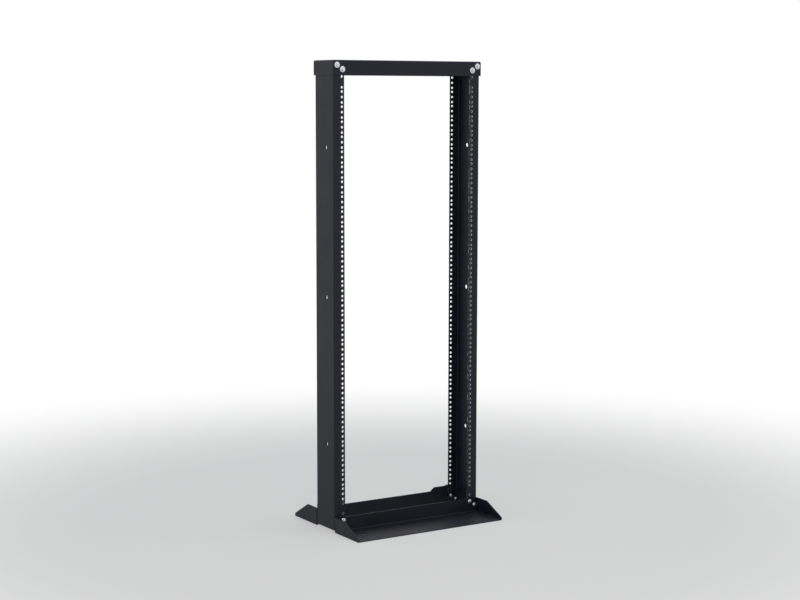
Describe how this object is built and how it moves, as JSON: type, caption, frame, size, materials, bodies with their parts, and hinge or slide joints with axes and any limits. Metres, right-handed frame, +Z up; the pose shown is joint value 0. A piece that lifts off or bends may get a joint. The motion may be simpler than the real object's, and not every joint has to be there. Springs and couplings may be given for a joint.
{
  "type": "two-post open frame rack",
  "caption": "Free-standing two-post open frame equipment rack: folded steel posts with rows of mounting holes front and rear, a bolted header pan and low front and rear feet.",
  "frame": {"origin": "on the floor, below the middle of the rack's footprint", "axes": "+Z up, -Y towards the front where the shorter foot apron is, +X to the right seen from the front"},
  "size_m": [0.5284, 0.392, 1.4268],
  "materials": {
    "post_steel": "satin black powder coat on folded steel sheet",
    "header_steel": "satin black powder coat on folded steel sheet",
    "foot_steel": "satin black powder coat on folded and welded steel plate",
    "zinc_hardware": "bright zinc-plated frame bolts, washers and nuts"
  },
  "bodies": {
    "root": {"left_post": "post_steel", "right_post": "post_steel", "header_pan": "header_steel", "front_foot": "foot_steel", "rear_foot": "foot_steel", "front_left_gusset": "foot_steel", "front_right_gusset": "foot_steel", "rear_left_gusset": "foot_steel", "rear_right_gusset": "foot_steel"}
  },
  "joints": []
}
